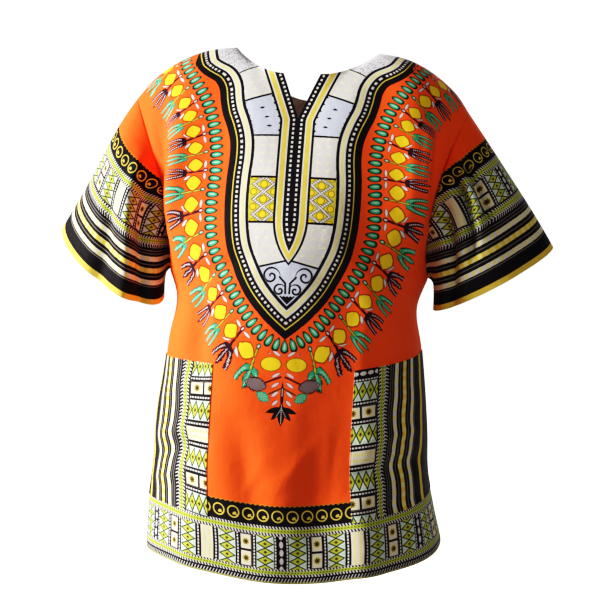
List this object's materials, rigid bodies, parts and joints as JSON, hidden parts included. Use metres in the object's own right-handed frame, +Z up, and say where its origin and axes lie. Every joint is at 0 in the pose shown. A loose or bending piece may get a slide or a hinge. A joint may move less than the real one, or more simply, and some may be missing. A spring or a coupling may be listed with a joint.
{
  "type": "dashiki shirt",
  "caption": "Loose pull-on cotton shirt in its worn, hollow shape, with a slit round neck, wide short sleeves, patch pockets and a printed yoke and borders.",
  "frame": {"origin": "middle of the neck, level with the neck ends of the shoulder seams, where the wearer's shoulders hold the shirt", "axes": "+Z up towards the neck, -Y towards the front of the shirt, +X towards the wearer's left sleeve"},
  "size_m": [0.6977, 0.308, 0.726],
  "materials": {
    "printed_cotton": "matte orange plain-weave cotton with a dense printed yoke and borders",
    "border_cotton": "matte plain-weave cotton cut from the printed border"
  },
  "bodies": {
    "root": {"front": "printed_cotton", "back": "printed_cotton", "sleeve_right": "printed_cotton", "sleeve_left": "printed_cotton", "pocket_right": "border_cotton", "pocket_left": "border_cotton"}
  },
  "joints": []
}
